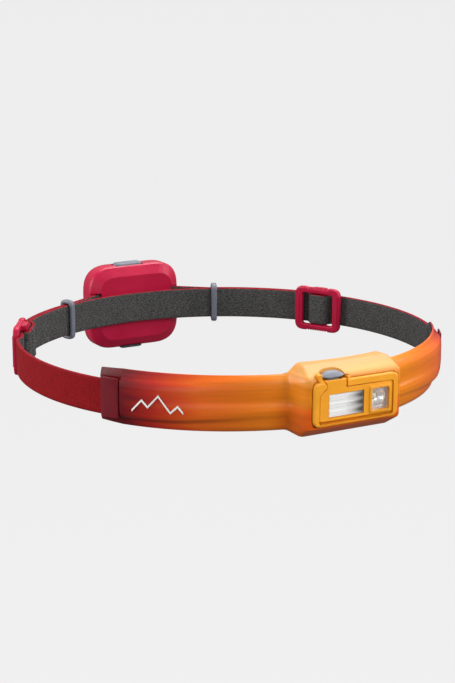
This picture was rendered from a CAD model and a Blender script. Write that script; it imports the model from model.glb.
"""Headlamp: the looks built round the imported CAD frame.

Metres. +Z is up, the lamp faces -Y and the wearer's left is +X.
"""

import math

import bmesh
import bpy
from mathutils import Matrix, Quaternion, Vector


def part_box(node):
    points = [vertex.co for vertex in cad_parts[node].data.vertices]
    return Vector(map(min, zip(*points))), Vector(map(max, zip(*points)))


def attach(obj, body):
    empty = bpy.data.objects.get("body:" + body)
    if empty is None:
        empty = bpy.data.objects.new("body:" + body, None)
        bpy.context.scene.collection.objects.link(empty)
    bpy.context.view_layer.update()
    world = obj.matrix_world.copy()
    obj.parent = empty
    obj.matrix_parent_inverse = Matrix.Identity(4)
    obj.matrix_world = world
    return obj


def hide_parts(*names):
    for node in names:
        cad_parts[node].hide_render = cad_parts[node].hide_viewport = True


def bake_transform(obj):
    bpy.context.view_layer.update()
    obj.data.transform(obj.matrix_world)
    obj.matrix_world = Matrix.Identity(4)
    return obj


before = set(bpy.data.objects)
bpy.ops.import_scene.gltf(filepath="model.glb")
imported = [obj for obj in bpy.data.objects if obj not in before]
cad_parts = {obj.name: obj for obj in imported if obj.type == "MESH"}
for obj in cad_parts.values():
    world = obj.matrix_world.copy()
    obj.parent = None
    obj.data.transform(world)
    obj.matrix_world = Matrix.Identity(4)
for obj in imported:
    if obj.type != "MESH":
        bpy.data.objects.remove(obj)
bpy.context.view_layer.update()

MM = 0.001
INNER_R = 100.4 * MM  # centre of the running strap
OUTER_R = 102.3 * MM  # centre of the outer layer
STRAP_T = 1.6 * MM
STRAP_HALF = 8 * MM
BAND_R = 101.5 * MM
ADJUSTER_AT = 120.5  # degrees round the loop from the front
STRAP_START = 56.8  # degrees, under the end patches
CIRCLE_END = 156.1  # degrees, where the outer layer leaves the circle for the pack
BACK = 180
RIDES = {"left": (-8.6, 8.6), "right": (-11.5, 13.5)}  # degrees of strap that move with each adjuster
# The inner and outer radius of each adjuster's centre bar.
BARS = {"left": (98.9 * MM, 100.3 * MM), "right": (96.6 * MM, 98 * MM)}
SIDES = {"left": 1, "right": -1}
SELVEDGE = 1  # the strap's material slots: 0 outside, 1 selvedge, 2 inside
STITCH_DEPTH = 0.92  # where the stitches' middle lies, as a share of the strap's half-thickness
LINING_R = 97.3 * MM
LINING_END = 62.7  # degrees
DOME_FADE = (-105.9 * MM, -106.4 * MM)  # y, from the LEDs' white carrier to their phosphor dome
FLOOR_R, FLOOR_Z, SHELL_R = 11.4, -0.35, 12.0
PALE = (0.84, 0.84, 0.84, 1)


# ---- small helpers -------------------------------------------------------------------------------


def tone(code):
    """A linear colour from an sRGB hex code."""
    channels = [int(code[i : i + 2], 16) / 255 for i in (0, 2, 4)]
    linear = [c / 12.92 if c <= 0.04045 else ((c + 0.055) / 1.055) ** 2.4 for c in channels]
    return (*linear, 1)


def polar(radius, degrees):
    """A point in plan, at an angle round the loop from the front towards +X."""
    a = math.radians(degrees)
    return Vector((radius * math.sin(a), -radius * math.cos(a)))


def smoothstep(x, low, high):
    t = min(max((x - low) / (high - low), 0), 1)
    return t * t * (3 - 2 * t)


def lerp(a, b, t):
    return a + (b - a) * t


def new_object(name, mesh):
    obj = bpy.data.objects.new(name, mesh)
    bpy.context.scene.collection.objects.link(obj)
    return obj


def object_from(name, bm, *materials):
    """A smooth-shaded object from a bmesh, with its faces turned outwards."""
    bmesh.ops.recalc_face_normals(bm, faces=bm.faces)
    mesh = bpy.data.meshes.new(name)
    bm.to_mesh(mesh)
    bm.free()
    mesh.shade_smooth()
    for material in materials:
        mesh.materials.append(material)
    return new_object(name, mesh)


def skin(bm, rings, closed=False, caps=True):
    """Joins rings of vertices with quads, and closes the ends. Returns the quads, ring by ring."""
    loops = [[bm.verts.new(p) for p in ring] for ring in rings]
    count = len(loops[0])
    pairs = list(zip(loops, loops[1:] + loops[:1] if closed else loops[1:]))
    quads = [
        [bm.faces.new((a[i], a[(i + 1) % count], b[(i + 1) % count], b[i])) for i in range(count)]
        for a, b in pairs
    ]
    if caps and not closed:
        for cap in (bm.faces.new(loops[0]), bm.faces.new(reversed(loops[-1]))):
            for edge in cap.edges:
                edge.smooth = False
    return quads


# ---- materials -----------------------------------------------------------------------------------


class Look:
    """A material's node tree, with short calls for the nodes that the looks share."""

    def __init__(self, name, **settings):
        self.material = bpy.data.materials.new(name)
        self.material.use_nodes = True
        self.tree = self.material.node_tree
        self.shader = self.tree.nodes["Principled BSDF"]
        for key, value in settings.items():
            self.feed(self.shader.inputs[key.replace("_", " ")], value)

    def feed(self, socket, value):
        if isinstance(value, bpy.types.NodeSocket):
            self.tree.links.new(value, socket)
        else:
            socket.default_value = value

    def node(self, kind, inputs=(), **settings):
        made = self.tree.nodes.new("ShaderNode" + kind)
        for key, value in settings.items():
            setattr(made, key, value)
        for key, value in dict(inputs).items():
            self.feed(made.inputs[key], value)
        return made

    def math(self, operation, a, b=0.0, clamp=False):
        return self.node("Math", {0: a, 1: b}, operation=operation, use_clamp=clamp).outputs[0]

    def place(self):
        """The point on the surface, in the row frame, as a vector and as x, y and z."""
        vector = self.node("TexCoord").outputs["Object"]
        split = self.node("SeparateXYZ", {0: vector})
        return vector, split.outputs[0], split.outputs[1], split.outputs[2]

    def round_loop(self):
        """Degrees round the loop from the front, and the point's height."""
        _, x, y, z = self.place()
        angle = self.math("ARCTAN2", x, self.math("MULTIPLY", y, -1.0))
        return self.math("DEGREES", angle), z

    def noise(self, vector, scale, detail=3.0, roughness=0.55):
        inputs = {"Vector": vector, "Scale": scale, "Detail": detail, "Roughness": roughness}
        return self.node("TexNoise", inputs).outputs["Fac"]

    def between(self, value, low, high):
        """0 at low, 1 at high."""
        inputs = {"Value": value, "From Min": low, "From Max": high}
        return self.node("MapRange", inputs).outputs[0]

    def mix(self, share, a, b, blend="MIX"):
        made = self.node("Mix", {0: share, 6: a, 7: b}, data_type="RGBA", blend_type=blend)
        return made.outputs[2]

    def ramp(self, value, stops):
        made = self.node("ValToRGB", {"Fac": value})
        elements = made.color_ramp.elements
        while len(elements) < len(stops):
            elements.new(0.5)
        for element, (position, colour) in zip(elements, stops):
            element.position = position
            element.color = colour
        return made.outputs["Color"]

    def colour(self, value):
        self.feed(self.shader.inputs["Base Color"], value)

    def rough(self, value):
        self.feed(self.shader.inputs["Roughness"], value)

    def bump(self, height, depth_mm, strength=1.0):
        """Bump whose height input of 1 stands for depth_mm."""
        inputs = {"Height": height, "Distance": depth_mm * MM, "Strength": strength}
        self.feed(self.shader.inputs["Normal"], self.node("Bump", inputs).outputs[0])

    def weave(self, u, v, pitch_mm, pick_mm, offset=0.5):
        """The height of a plain weave: rounded picks, each row shifted against the next."""
        row = self.math("DIVIDE", v, pick_mm * MM)
        shift = self.math("MULTIPLY", self.math("FLOOR", row), offset)
        along = self.math("ADD", self.math("DIVIDE", u, pitch_mm * MM), shift)
        parts = [self.math("FRACT", s) for s in (along, row)]
        hills = [self.math("SINE", self.math("MULTIPLY", part, math.pi)) for part in parts]
        return self.math("POWER", self.math("MULTIPLY", *hills), 0.6)


def band_look():
    """Moulded knit that fades from dark red at both ends to orange at the lamp, in lengthwise streaks."""
    look = Look("band_knit", Specular_IOR_Level=0.3, Roughness=0.36)
    degrees, z = look.round_loop()
    vector = look.place()[0]
    u = look.math("MULTIPLY", look.math("RADIANS", degrees), BAND_R)
    stretched = {0: look.math("MULTIPLY", u, 9.0), 1: look.math("MULTIPLY", z, 330.0)}
    streak = look.math("SUBTRACT", look.noise(look.node("CombineXYZ", stretched).outputs[0], 1.0, 3.0), 0.5)
    away = look.math("MAXIMUM", look.math("MULTIPLY", degrees, -1.0), look.math("SUBTRACT", degrees, 6.0))
    away = look.math("ADD", away, look.math("MULTIPLY", streak, 16.0))
    fade = look.ramp(
        look.between(away, 62.0, 14.0),
        [
            (0.0, tone("5c0812")),
            (0.14, tone("6c0f18")),
            (0.3, tone("b0261b")),
            (0.44, tone("d24b17")),
            (0.54, tone("e26619")),
            (0.7, tone("e27018")),
            (1.0, tone("e88614")),
        ],
    )
    housing = look.between(look.math("ABSOLUTE", degrees), 20.0, 12.0)
    fade = look.mix(look.math("MULTIPLY", look.between(z, 9 * MM, 15 * MM), housing), fade, tone("e2a458"))
    fade = look.mix(look.math("MULTIPLY", look.between(z, 2 * MM, -1 * MM), housing), fade, tone("e0600c"))
    knit = look.weave(u, z, 0.9, 0.55)
    fleck = look.noise(vector, 1500.0, 2.0)
    shade = look.ramp(look.math("MULTIPLY", look.math("ADD", knit, fleck), 0.5), [
        (0.2, (0.86, 0.86, 0.86, 1)),
        (0.8, (1.08, 1.08, 1.08, 1)),
    ])
    drawn = look.ramp(look.math("ADD", streak, 0.5), [
        (0.34, (0.84, 0.8, 0.8, 1)),
        (0.66, (1.12, 1.12, 1.1, 1)),
    ])
    look.colour(look.mix(1.0, look.mix(1.0, fade, shade, "MULTIPLY"), drawn, "MULTIPLY"))
    look.bump(knit, 0.03, 0.5)
    return look.material


def webbing_look(name, low, high, pitch, pick, depth, heather=0.5):
    """Woven cloth drawn in the strap's own length and height, so that it moves with the strap."""
    look = Look(name, Roughness=0.85, Specular_IOR_Level=0.15)
    uv = look.node("UVMap", uv_map="Cloth").outputs[0]
    split = look.node("SeparateXYZ", {0: uv})
    u, v = split.outputs[0], split.outputs[1]
    cloth = look.weave(u, v, pitch, pick)
    stretched = look.node("Mapping", {0: uv, "Scale": (0.55, 1.1, 1.0)}).outputs[0]
    streak = look.noise(stretched, 1500.0, 3.0)
    patch = look.noise(uv, 160.0, 2.0)
    mottle = look.math("ADD", look.math("MULTIPLY", streak, heather), look.math("MULTIPLY", patch, 0.14))
    share = look.math("ADD", mottle, look.math("MULTIPLY", cloth, 0.14))
    middle = heather / 2 + 0.16
    look.colour(look.ramp(share, [(middle - 0.2, tone(low)), (middle + 0.2, tone(high))]))
    look.bump(look.math("ADD", cloth, look.math("MULTIPLY", streak, 0.6)), depth, 0.8)
    return look.material


def moulding_look(name, code, roughness, grain=0.02, coat=0.0, specular=0.5, gloss_tint="ffffff"):
    """Moulded plastic or rubber: a fine spark-eroded grain, slightly paler worn highs and uneven gloss."""
    look = Look(name, Coat_Weight=coat, Coat_Roughness=0.25, Specular_IOR_Level=specular)
    look.feed(look.shader.inputs["Specular Tint"], tone(gloss_tint))
    vector = look.place()[0]
    fine = look.noise(vector, 2600.0, 2.0)
    broad = look.noise(vector, 60.0, 3.0)
    base = tone(code)
    dark = (*(c * 0.86 for c in base[:3]), 1)
    light = (*(min(c * 1.12 + 0.004, 1) for c in base[:3]), 1)
    share = look.math("ADD", look.math("MULTIPLY", fine, 0.4), look.math("MULTIPLY", broad, 0.6))
    look.colour(look.ramp(share, [(0.3, dark), (0.7, light)]))
    uneven = look.math("MULTIPLY", look.math("SUBTRACT", broad, 0.5), 0.18)
    look.rough(look.math("ADD", uneven, roughness))
    look.bump(fine, grain, 0.6)
    return look.material


def metal_look(name, code, roughness):
    look = Look(name, Metallic=1.0, Base_Color=tone(code))
    vector = look.place()[0]
    scratch = look.noise(look.node("Mapping", {0: vector, "Scale": (8.0, 1.0, 1.0)}).outputs[0], 900.0, 3.0)
    look.rough(look.math("ADD", look.math("MULTIPLY", scratch, 0.12), roughness))
    return look.material


def clear_look(name, alpha):
    """Clear polycarbonate that is seen through."""
    look = Look(name, Base_Color=(0.93, 0.94, 0.95, 1), Roughness=0.08, Coat_Weight=1.0, Coat_Roughness=0.03)
    look.feed(look.shader.inputs["Alpha"], alpha)
    return look.material


def diffuser_look():
    """A milky window over the flood LED, clearer towards its plain end, with upright ribs and three bars."""
    look = Look("flood_diffuser", Roughness=0.2, Coat_Weight=0.6, Coat_Roughness=0.05, Alpha=0.9)
    _, x, _, z = look.place()
    rib = look.math("SINE", look.math("MULTIPLY", x, math.tau / (0.62 * MM)))
    bar = look.math("SINE", look.math("MULTIPLY", z, math.tau / (3.2 * MM)))
    clearer = look.between(x, -5.5 * MM, 3.0 * MM)
    dim = look.math("ADD", look.math("MULTIPLY", rib, 0.06), look.math("MULTIPLY", bar, 0.14))
    share = look.math("ADD", clearer, look.math("MULTIPLY", dim, look.math("ADD", clearer, 0.4)))
    look.colour(look.ramp(share, [(0.0, tone("fbfbfa")), (0.45, tone("d9d7d5")), (1.0, tone("5c5754"))]))
    look.bump(rib, 0.04, 0.6)
    return look.material


def board_look():
    """Green solder mask with paler tracks and pads."""
    look = Look("circuit_board", Roughness=0.35, Coat_Weight=0.4, Coat_Roughness=0.15)
    vector, x, _, z = look.place()
    tracks = look.weave(x, z, 2.6, 1.3, 0.37)
    look.colour(look.ramp(tracks, [(0.82, tone("14502a")), (0.9, tone("3b8a4e"))]))
    look.bump(look.noise(vector, 900.0), 0.02)
    return look.material


def foil_look():
    """The crinkled foil pouch of the cell."""
    look = Look("cell_foil", Metallic=0.9, Base_Color=tone("b9c0c6"))
    crease = look.noise(look.place()[0], 260.0, 5.0, 0.7)
    look.rough(look.between(crease, -0.5, 2.0))
    look.bump(crease, 0.2)
    return look.material


def led_look():
    """A phosphor dome over its white chip carrier."""
    look = Look("led_phosphor", Roughness=0.3, Coat_Weight=0.8, Coat_Roughness=0.05)
    vector, _, y, _ = look.place()
    dome = look.between(y, *DOME_FADE)
    grain = look.noise(vector, 2500.0)
    phosphor = look.ramp(grain, [(0.3, tone("f0e69c")), (0.7, tone("fffada"))])
    look.colour(look.mix(dome, tone("ecebe6"), phosphor))
    return look.material


LOOKS = {
    "band": band_look(),
    "red": webbing_look("webbing_red", "5e0307", "a8141d", 1.3, 0.62, 0.09),
    "edge": webbing_look("webbing_edge", "6e0712", "9c1c2e", 1.1, 0.5, 0.08),
    "charcoal": webbing_look("webbing_charcoal", "1f1e1e", "636261", 1.5, 0.7, 0.12, heather=0.9),
    "lining": webbing_look("lining_knit", "1c1b1b", "4c4b4a", 1.1, 0.9, 0.12, heather=0.8),
    "patch": moulding_look("end_patch_tpu", "6c0a1a", 0.5, 0.03, specular=0.22),
    "thread": moulding_look("thread", "3a3a3c", 0.7, 0.05),
    "lamp": moulding_look("lamp_orange", "f0a024", 0.34, 0.02, specular=0.4),
    "raspberry": moulding_look("raspberry_plastic", "b00c36", 0.36, 0.02, gloss_tint="ffb4c8"),
    "grey_rubber": moulding_look("grey_rubber", "6a6d78", 0.5, 0.03),
    "button_rubber": moulding_look("button_rubber", "7f828d", 0.5, 0.03),
    "dark_rubber": moulding_look("dark_rubber", "2c2d31", 0.65, 0.04),
    "black": moulding_look("black_plastic", "1d1e20", 0.5, 0.02),
    "white": moulding_look("white_plastic", "e9e9e6", 0.35, 0.01, coat=0.3),
    "print": moulding_look("white_print", "efeeea", 0.45, 0.01),
    "steel": metal_look("steel", "b4b7ba", 0.25),
    "chrome": metal_look("reflector_chrome", "f2f3f4", 0.2),
    "diffuser": diffuser_look(),
    "window": clear_look("spot_window", 0.16),
    "board": board_look(),
    "foil": foil_look(),
    "led": led_look(),
}


# ---- CAD nodes that keep their shape -------------------------------------------------------------


def edge_smoothing():
    """A node group that shades faces smooth and keeps edges sharper than its angle crisp."""
    group = bpy.data.node_groups.new("smooth_by_angle", "GeometryNodeTree")
    group.interface.new_socket("Geometry", in_out="INPUT", socket_type="NodeSocketGeometry")
    group.interface.new_socket("Angle", in_out="INPUT", socket_type="NodeSocketFloat")
    group.interface.new_socket("Geometry", in_out="OUTPUT", socket_type="NodeSocketGeometry")
    nodes, links = group.nodes, group.links
    start, end = nodes.new("NodeGroupInput"), nodes.new("NodeGroupOutput")
    faces = nodes.new("GeometryNodeSetShadeSmooth")
    edges = nodes.new("GeometryNodeSetShadeSmooth")
    edges.domain = "EDGE"
    edges.inputs["Shade Smooth"].default_value = False
    angle = nodes.new("GeometryNodeInputMeshEdgeAngle")
    sharper = nodes.new("ShaderNodeMath")
    sharper.operation = "GREATER_THAN"
    links.new(start.outputs["Geometry"], faces.inputs["Geometry"])
    links.new(faces.outputs["Geometry"], edges.inputs["Geometry"])
    links.new(angle.outputs["Unsigned Angle"], sharper.inputs[0])
    links.new(start.outputs["Angle"], sharper.inputs[1])
    links.new(sharper.outputs[0], edges.inputs["Selection"])
    links.new(edges.outputs["Geometry"], end.inputs["Geometry"])
    return group


SMOOTHING = edge_smoothing()


def keep(name, look, angle, bevel_mm=0.0, bevel_angle=40):
    """Gives a CAD node a material. Modifiers join its facets, round its edges and smooth its shading."""
    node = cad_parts[name]
    mesh = node.data
    if "custom_normal" in mesh.attributes:
        mesh.attributes.remove(mesh.attributes["custom_normal"])
    mesh.materials.clear()
    mesh.materials.append(LOOKS[look])
    weld = node.modifiers.new("weld", "WELD")
    weld.merge_threshold = 0.001 * MM
    if bevel_mm:
        bevel = node.modifiers.new("bevel", "BEVEL")
        bevel.width = bevel_mm * MM
        bevel.segments = 3
        bevel.limit_method = "ANGLE"
        bevel.angle_limit = math.radians(bevel_angle)
    smooth = node.modifiers.new("smooth", "NODES")
    smooth.node_group = SMOOTHING
    socket = next(s.identifier for s in SMOOTHING.interface.items_tree if s.name == "Angle")
    smooth[socket] = math.radians(angle)
    weighted = node.modifiers.new("weighted", "WEIGHTED_NORMAL")
    weighted.keep_sharp = True


KEPT = {
    "front_band": ("band", 38),
    "band_mark": ("print", 50),
    "bezel": ("lamp", 50, 0.5, 60),
    "tilt_module": ("lamp", 50),
    "lamp_tub": ("black", 30),
    "module_back": ("black", 30),
    "hinge_pin_left": ("steel", 40),
    "hinge_pin_right": ("steel", 40),
    "detent_leaf": ("steel", 40),
    "flood_lens": ("diffuser", 30),
    "flood_tray": ("white", 30),
    "spot_lens": ("window", 30),
    "spot_reflector": ("chrome", 40),
    "led_board": ("board", 30),
    "flood_led": ("led", 50),
    "spot_led": ("led", 50),
    "tact_switch": ("black", 30),
    "pack_tub": ("raspberry", 60, 1.2, 14),
    "pack_lid": ("raspberry", 60),
    "battery_cell": ("foil", 30),
    "charge_board": ("board", 30),
    "usb_port": ("steel", 30),
    "port_cover": ("grey_rubber", 40),
    "bottom_pad": ("dark_rubber", 40),
    **{f"{part}_{side}": look for side in SIDES for part, look in (
        ("adjuster", ("raspberry", 40)),
        ("keeper", ("grey_rubber", 45)),
        ("end_patch", ("patch", 45)),
        ("anchor_bar", ("steel", 40)),
    )},
    **{f"pack_screw_{i}": ("steel", 40) for i in range(1, 5)},
}


# ---- straps --------------------------------------------------------------------------------------


def strap_section():
    """The strap's outline as (height, share of the half-thickness, material slot)."""
    flat = 12
    bead = 0.6 * MM
    reach = STRAP_HALF - 0.35 * MM
    heights = [lerp(-reach, reach, i / flat) for i in range(flat + 1)]

    def swell(h):
        return 0.9 + 0.1 * smoothstep(abs(h), reach - 2 * bead, reach - bead)

    outside = [(h, swell(h), 0) for h in heights]
    inside = [(h, -swell(h), 2) for h in reversed(heights)]
    top = [(STRAP_HALF - 0.1 * MM, 0.62, 1), (STRAP_HALF, 0.0, 1), (STRAP_HALF - 0.1 * MM, -0.62, 1)]
    bottom = [(-h, -share, slot) for h, share, slot in top]
    return outside + top + inside + bottom


def strip_slot(first, second):
    """The material slot between two points of the outline: the selvedge wherever one of them lies on it."""
    return SELVEDGE if SELVEDGE in (first, second) else max(first, second)


def strap(name, path, side, start=0.0):
    """Webbing swept along a path in plan, with its length and height as UVs. side turns its red face out."""
    section = strap_section()
    rings, lengths = [], []
    length = start
    for i, p in enumerate(path):
        before, after = path[max(i - 1, 0)], path[min(i + 1, len(path) - 1)]
        along = (after - before).normalized()
        out = Vector((along.y, -along.x)) * side
        length += (p - path[i - 1]).length if i else 0.0
        lengths.append(length)
        rings.append([(*(p + out * share * STRAP_T / 2), height) for height, share, _ in section])
    bm = bmesh.new()
    uv_layer = bm.loops.layers.uv.new("Cloth")
    quads = skin(bm, rings)
    for k, ring in enumerate(quads):
        for i, face in enumerate(ring):
            j = (i + 1) % len(section)
            face.material_index = strip_slot(section[i][2], section[j][2])
            corners = [(k, i), (k, j), (k + 1, j), (k + 1, i)]
            for loop, (a, b) in zip(face.loops, corners):
                loop[uv_layer].uv = (lengths[a], section[b][0])
    obj = object_from(name, bm, LOOKS["red"], LOOKS["edge"], LOOKS["charcoal"])
    return obj


def arc_path(radius, start, end, step=0.6):
    count = max(2, round(abs(end - start) / step))
    return [polar(radius, lerp(start, end, i / count)) for i in range(count + 1)]


def on_frame(side, t, r):
    """A point near an adjuster: t runs back from its middle, r is the distance from the loop's axis."""
    a = math.radians(side * ADJUSTER_AT)
    return Vector((side * t * math.cos(a) + r * math.sin(a), side * t * math.sin(a) - r * math.cos(a)))


def on_circle(radius, t):
    return math.sqrt(radius**2 - t**2)


def through_left(t):
    """The left strap goes outside its adjuster's side bars and inside the centre bar."""
    under = 95.9 * MM
    return on_circle(lerp(under, INNER_R, smoothstep(abs(t), 2.8 * MM, 7.4 * MM)), t)


def through_right(t):
    """The right strap goes inside the side bars and outside the centre bar, and on as the outer layer."""
    under, over = 97.8 * MM, 101 * MM
    if t < -13.4 * MM:
        return lerp(under, on_circle(INNER_R, t), smoothstep(-t, 13.4 * MM, 18.4 * MM))
    if t > 14 * MM:
        return lerp(under, on_circle(OUTER_R, t), smoothstep(t, 14 * MM, 22 * MM))
    return lerp(over, under, smoothstep(abs(t), 3 * MM, 8.6 * MM))


def running_strap(name, side, through, end_radius):
    """The strap from the band's end to the adjuster and through it."""
    first, last = RIDES[name]
    t0 = INNER_R * math.sin(math.radians(first))
    t1 = end_radius * math.sin(math.radians(last))
    crest = [on_frame(side, t, through(t)) for t in (lerp(t0, t1, i / 72) for i in range(73))]
    front = arc_path(INNER_R, side * STRAP_START, side * (ADJUSTER_AT + first))
    piece = strap(f"strap_front_{name}", front[:-1] + crest, side)
    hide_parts(f"side_strap_{name}", f"weave_{name}")
    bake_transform(piece)


def loop_path(side, near, far):
    """The sewn end and its turn round a centre bar, from the far side of the bar to the near one."""
    way = 1 if near > far else -1
    tail = [(4.2, near - way * 1.66 * MM), (3.9, near - way * 1.7 * MM), (3.6, lerp(far, near, 0.4))]
    tail += [(3.3, lerp(far, near, 0.2)), (2.6, lerp(far, near, 0.05)), (2.0, far), (0.0, far), (-1.4, far)]
    middle, reach = (near + far) / 2, (near - far) / 2
    turns = [math.pi * k / 12 for k in range(1, 12)]
    turn = [(-1.8 - math.sin(a) * abs(reach) / MM * 0.85, middle - math.cos(a) * reach) for a in turns]
    return [on_frame(side, t * MM, r) for t, r in tail + turn + [(-1.4, near), (0.0, near), (1.6, near)]]


def bar_sides(name):
    """Where the middle of a strap lies just inside and just outside a centre bar."""
    low, high = BARS[name]
    off = 0.3 * MM + STRAP_T / 2
    return low - off, high + off


def into_pack(side):
    """Round the anchor bar in the pack."""
    low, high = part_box("pack_lid")
    middle = (low.x + high.x) / 2

    def at(dx, y):
        return Vector((middle + side * dx * MM, y * MM))

    bar_x, bar_y, bend = 19.5, 109, 2.4
    turns = [math.radians(-90 - i * 11.25) for i in range(17)]
    wrap = [at(bar_x + bend * math.cos(a), bar_y + bend * math.sin(a)) for a in turns]
    return [at(25, 104.9), at(23.6, 105.6), at(21.8, 106.3), *wrap, at(22.4, 111.3)]


def outer_left():
    """From the loop sewn round the left centre bar, over the running strap, to the pack."""
    inside, outside = bar_sides("left")
    behind = (2.4, 3.2, 4.0, 5.0, 6.0, 7.0, 8.5)
    rise = [(t, lerp(outside, OUTER_R, smoothstep(t, 2.4, 7.0))) for t in behind]
    path = loop_path(1, outside, inside) + [on_frame(1, t * MM, on_circle(r, t * MM)) for t, r in rise]
    path += arc_path(OUTER_R, ADJUSTER_AT + 5.6, CIRCLE_END) + into_pack(1)
    return strap("strap_outer_left", path, 1), ADJUSTER_AT + 5


def outer_right():
    """The running strap's continuation as the outer layer, from the right adjuster to the pack."""
    start = ADJUSTER_AT + RIDES["right"][1]
    path = arc_path(OUTER_R, -start, -CIRCLE_END) + into_pack(-1)
    return strap("strap_outer_right", path, -1, 110 * MM), start


def rear_left():
    """The inner layer from the left adjuster to the middle of the back."""
    start = ADJUSTER_AT + RIDES["left"][1]
    return strap("strap_rear_left", arc_path(INNER_R, start, BACK), 1, 128 * MM), start


def rear_right():
    """From the loop sewn round the right centre bar, under the running strap, to the middle of the back."""
    inside, outside = bar_sides("right")
    path = loop_path(-1, inside, outside)
    for i in range(1, 29):
        t = lerp(1.6, 22, i / 28) * MM
        path.append(on_frame(-1, t, lerp(inside, on_circle(INNER_R, t), smoothstep(t, 14 * MM, 22 * MM))))
    path += arc_path(INNER_R, -ADJUSTER_AT - 13.2, -BACK)
    return strap("strap_rear_right", path, -1), ADJUSTER_AT + 5


def back_straps():
    """Both layers behind each adjuster. They follow the adjuster at one end and stay put at the other."""
    builders = {"outer_strap_left": outer_left, "outer_strap_right": outer_right,
                "rear_strap_left": rear_left, "rear_strap_right": rear_right}
    for node_name, build in builders.items():
        piece, start = build()
        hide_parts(node_name)
        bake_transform(piece)


def stitches(name, places, thread_mm=0.34, length_mm=1.5):
    """Short raised threads as one mesh. Each place is (centre, direction, outward normal)."""
    bm = bmesh.new()
    shape = [(-1.0, 0.15), (-0.8, 0.75), (-0.3, 1.0), (0.3, 1.0), (0.8, 0.75), (1.0, 0.15)]
    for centre, along, out in places:
        across = along.cross(out)
        rings = []
        for s, r in shape:
            middle = centre + along * (s * length_mm / 2 * MM)
            ring = [
                middle + (across * math.cos(a) + out * math.sin(a) * 0.8) * (r * thread_mm * MM)
                for a in (math.tau * i / 8 for i in range(8))
            ]
            rings.append(ring)
        skin(bm, rings)
    return object_from(name, bm, LOOKS["thread"])


def bar_tack(name, side, radius):
    """Rows of stitching that close a sewn loop, behind the centre bar."""
    places = []
    rows = (3.2, 4.3, 5.4)
    for t in rows:
        for i in range(8):
            a = side * (ADJUSTER_AT + math.degrees(t * MM / INNER_R))
            out = Vector((*polar(1, a), 0)) * (1 if radius > INNER_R else -1)
            spot = Vector((*on_frame(side, t * MM, radius), lerp(-6.6, 6.6, i / 7) * MM))
            places.append((spot, Vector((0, 0, 1)), out))
    piece = stitches(f"bar_tack_{name}", places)
    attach(piece, f"{name}_adjuster")


# ---- lining --------------------------------------------------------------------------------------


def lining_ring(deg):
    """The lining's outline at one angle: its crowned inner face, then its plain back."""
    rows = 16
    middle = 0.5 * MM
    at_lamp, at_ends = 14.0, 11.4  # half its height
    bound, crowned = 0.35, 1.15  # how thick it is
    channel_pitch, channel_width = 7.5, 0.32  # degrees
    end = smoothstep(LINING_END - abs(deg), 0, 1.2)
    half = lerp(at_lamp, at_ends, smoothstep(abs(deg), 9, 20)) * MM
    channel = 1 - math.exp(-(((abs(deg) % channel_pitch) - channel_pitch / 2) / channel_width) ** 2)
    inner_points = []
    for i in range(rows + 1):
        s = lerp(-1, 1, i / rows)
        crown = (1 - abs(s) ** 6) * lerp(0.35, 1.0, channel) * end
        thick = lerp(bound, crowned, crown) * MM
        inner_points.append((*polar(LINING_R - thick, deg), middle + s * half * 0.985))
    return inner_points + [(*polar(LINING_R, deg), middle + s * half) for s in (1.0, 0.5, 0.0, -0.5, -1.0)]


def lining():
    """A thin foam pad in knit, crowned between its bound edges and quilted across."""
    steps = 240
    angles = [lerp(-LINING_END, LINING_END, k / steps) for k in range(steps + 1)]
    rings = [lining_ring(deg) for deg in angles]
    lengths = [math.radians(deg) * LINING_R for deg in angles]
    bm = bmesh.new()
    uv_layer = bm.loops.layers.uv.new("Cloth")
    quads = skin(bm, rings)
    for k, ring in enumerate(quads):
        for i, face in enumerate(ring):
            for loop, (a, b) in zip(face.loops, [(k, i), (k, i + 1), (k + 1, i + 1), (k + 1, i)]):
                loop[uv_layer].uv = (lengths[a], rings[a][b % len(rings[a])][2])
    pad = object_from("lining_pad", bm, LOOKS["lining"])
    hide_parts("band_lining")
    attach(pad, "band_and_pack")


# ---- button --------------------------------------------------------------------------------------


def button():
    """A rubber pillow with a shallow groove along its top."""
    low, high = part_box("power_button")
    centre = (low + high) / 2
    half_x, half_y = (high.x - low.x) / 2, (high.y - low.y) / 2
    top = high.z
    sides = 56

    def outline(share, z):
        ring = []
        for i in range(sides):
            a = math.tau * i / sides
            c, s = math.cos(a), math.sin(a)
            x = half_x * share * math.copysign(abs(c) ** 0.8, c)
            y = half_y * share * math.copysign(abs(s) ** 0.85, s)
            groove = math.exp(-(((y / half_y - 0.12 * math.sin(x / half_x * 2.4)) / 0.16) ** 2))
            dip = groove * smoothstep(share, 1.0, 0.55) * 0.45 * MM
            ring.append((centre.x + x, centre.y + y, z - dip))
        return ring

    rings = [outline(0.78, top - 2.6 * MM), outline(0.93, top - 2.5 * MM), outline(1.0, top - 2.0 * MM)]
    for k in range(1, 12):
        share = math.cos(math.pi / 2 * k / 12)
        rings.append(outline(share, top - 2.0 * MM * share**2.6))
    rings.append(outline(0.02, top))
    bm = bmesh.new()
    skin(bm, rings)
    neck_x, neck_y = 2.7 * MM, 1.4 * MM
    corners = ((-1, -1), (1, -1), (1, 1), (-1, 1))
    neck = [(centre.x + sx * neck_x, centre.y + sy * neck_y) for sx, sy in corners]
    skin(bm, [[(x, y, z) for x, y in neck] for z in (low.z + 0.6 * MM, top - 2.4 * MM)])
    piece = object_from("button_pillow", bm, LOOKS["button_rubber"])
    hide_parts("power_button")
    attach(piece, "button")


# ---- stage ---------------------------------------------------------------------------------------


def only_seen(obj):
    """The backdrop is seen, and takes no part in the lighting."""
    obj.visible_diffuse = False
    obj.visible_glossy = False
    obj.visible_transmission = False
    obj.visible_shadow = False


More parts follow.
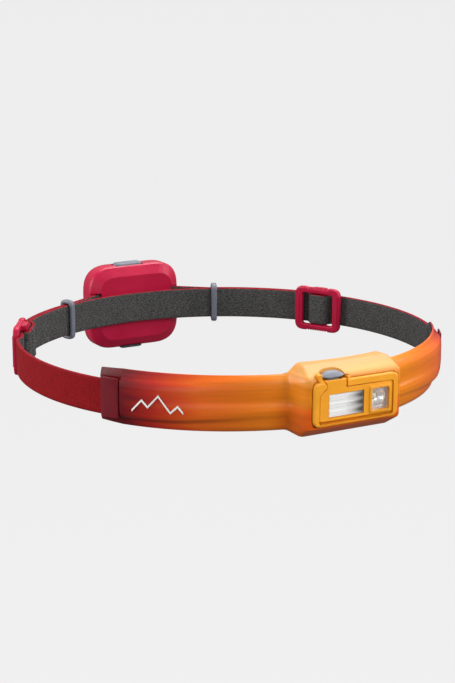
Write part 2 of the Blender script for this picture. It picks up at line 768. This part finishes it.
def backdrop():
    """A pale floor under the headlamp, and a shell of the same tone round it."""
    look = Look("pale_stage", Base_Color=(0.02, 0.02, 0.02, 1), Roughness=1.0, Specular_IOR_Level=0.0)
    look.feed(look.shader.inputs["Emission Color"], PALE)
    look.feed(look.shader.inputs["Emission Strength"], 1.0)
    bm = bmesh.new()
    bmesh.ops.create_circle(bm, cap_ends=True, segments=64, radius=FLOOR_R)
    bmesh.ops.translate(bm, verts=bm.verts, vec=(0, 0, FLOOR_Z))
    only_seen(object_from("floor", bm, look.material))
    bm = bmesh.new()
    bmesh.ops.create_icosphere(bm, subdivisions=4, radius=SHELL_R)
    only_seen(object_from("shell", bm, look.material))


def area_light(name, place, size, power, colour=(1, 1, 1)):
    data = bpy.data.lights.new(name, "AREA")
    data.shape = "RECTANGLE"
    data.size, data.size_y = size
    data.energy = power
    data.color = colour
    lamp = new_object(name, data)
    lamp.location = place
    lamp.rotation_mode = "QUATERNION"
    lamp.rotation_quaternion = (-Vector(place)).to_track_quat("-Z", "Y")


def studio():
    area_light("top_softbox", (0.3, 0.25, 0.8), (0.7, 0.7), 9.0)
    area_light("left_softbox", (-0.95, 0.42, 0.3), (0.5, 0.6), 8.5)
    area_light("front_softbox", (0.3, -1.0, 0.42), (0.6, 0.4), 6.0)
    area_light("front_left_fill", (-0.8, -0.75, 0.2), (0.5, 0.5), 1.8)
    area_light("right_softbox", (0.95, -0.45, 0.5), (0.3, 0.7), 4.5)
    world = bpy.data.worlds.new("studio_air")
    bpy.context.scene.world = world
    world.use_nodes = True
    nodes, links = world.node_tree.nodes, world.node_tree.links
    nodes["Background"].inputs["Strength"].default_value = 0.5
    split = nodes.new("ShaderNodeSeparateXYZ")
    ramp = nodes.new("ShaderNodeValToRGB")
    spread = nodes.new("ShaderNodeMapRange")
    spread.inputs["From Min"].default_value = -1.0
    links.new(nodes.new("ShaderNodeTexCoord").outputs["Generated"], split.inputs[0])
    links.new(split.outputs[2], spread.inputs["Value"])
    links.new(spread.outputs[0], ramp.inputs["Fac"])
    links.new(ramp.outputs["Color"], nodes["Background"].inputs["Color"])
    low, high = ramp.color_ramp.elements
    low.position, low.color = 0.3, (0.32, 0.32, 0.32, 1)
    high.position, high.color = 0.8, (1, 1, 1, 1)


def camera():
    eye = Vector((-0.3607, -0.6351, 0.1861))
    roll = math.radians(0.2)
    data = bpy.data.cameras.new("camera")
    data.lens = 82.24
    data.sensor_width = 36
    data.shift_y = 0.0088
    data.clip_start, data.clip_end = 0.01, 60
    obj = new_object("camera", data)
    obj.location = eye
    obj.rotation_mode = "QUATERNION"
    obj.rotation_quaternion = (-eye).to_track_quat("-Z", "Y") @ Quaternion((0, 0, 1), roll)
    bpy.context.scene.camera = obj


# ---- the whole -----------------------------------------------------------------------------------

camera()
studio()
backdrop()
bpy.context.scene.view_settings.view_transform = "Standard"
for node_name, settings in KEPT.items():
    keep(node_name, *settings)
running_strap("left", 1, through_left, INNER_R)
running_strap("right", -1, through_right, OUTER_R)
back_straps()
bar_tack("right", -1, bar_sides("right")[0] - STRAP_T / 2 * STITCH_DEPTH)
lining()
button()
